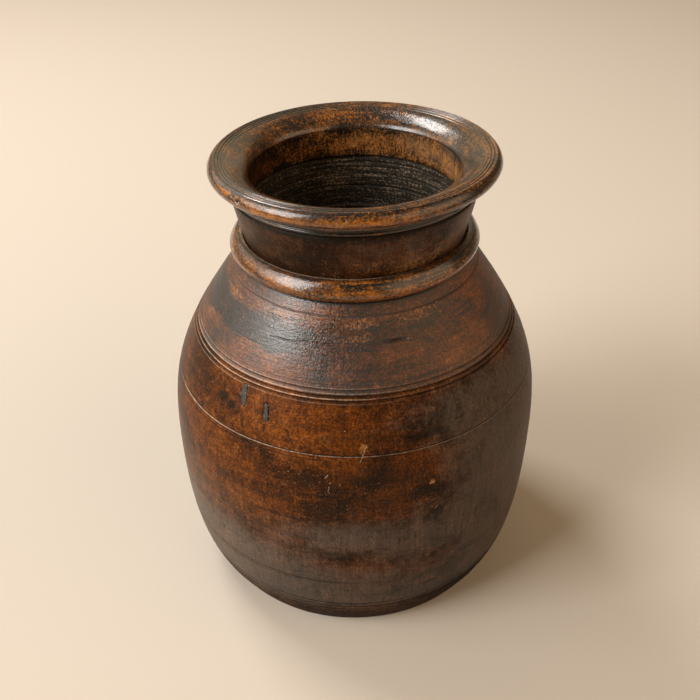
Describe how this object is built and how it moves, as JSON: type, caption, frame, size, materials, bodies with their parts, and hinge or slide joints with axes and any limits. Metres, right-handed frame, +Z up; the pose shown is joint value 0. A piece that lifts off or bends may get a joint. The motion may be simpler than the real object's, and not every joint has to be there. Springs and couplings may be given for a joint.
{
  "type": "wooden grain pot",
  "caption": "Dark turned wooden storage pot with a flared lip, short neck, half-round collar, full belly and a wide flat foot; it stands free and holds grain.",
  "frame": {"origin": "centre of the pot's footprint, on the surface that it stands on", "axes": "+Z up along the pot's axis, -Y towards the viewer of the picture, +X to that viewer's right"},
  "size_m": [0.3, 0.3, 0.3669],
  "materials": {
    "worn_wood": "oiled and rubbed, reddish brown with orange wear on the edges",
    "dark_wood": "dark oiled patina, satin, with black smoke stains and fine turned lines",
    "floor_wood": "dry dark wood, matt",
    "pitch": "hard black pitch, dull"
  },
  "bodies": {
    "root": {"lip_ring": "worn_wood", "neck_sleeve": "dark_wood", "collar_ring": "worn_wood", "shoulder_shell": "dark_wood", "belly_band": "dark_wood", "lower_shell": "dark_wood", "foot_ring": "dark_wood", "base_disc": "floor_wood", "pitch_fill_long": "pitch", "pitch_fill_short": "pitch"}
  },
  "joints": []
}
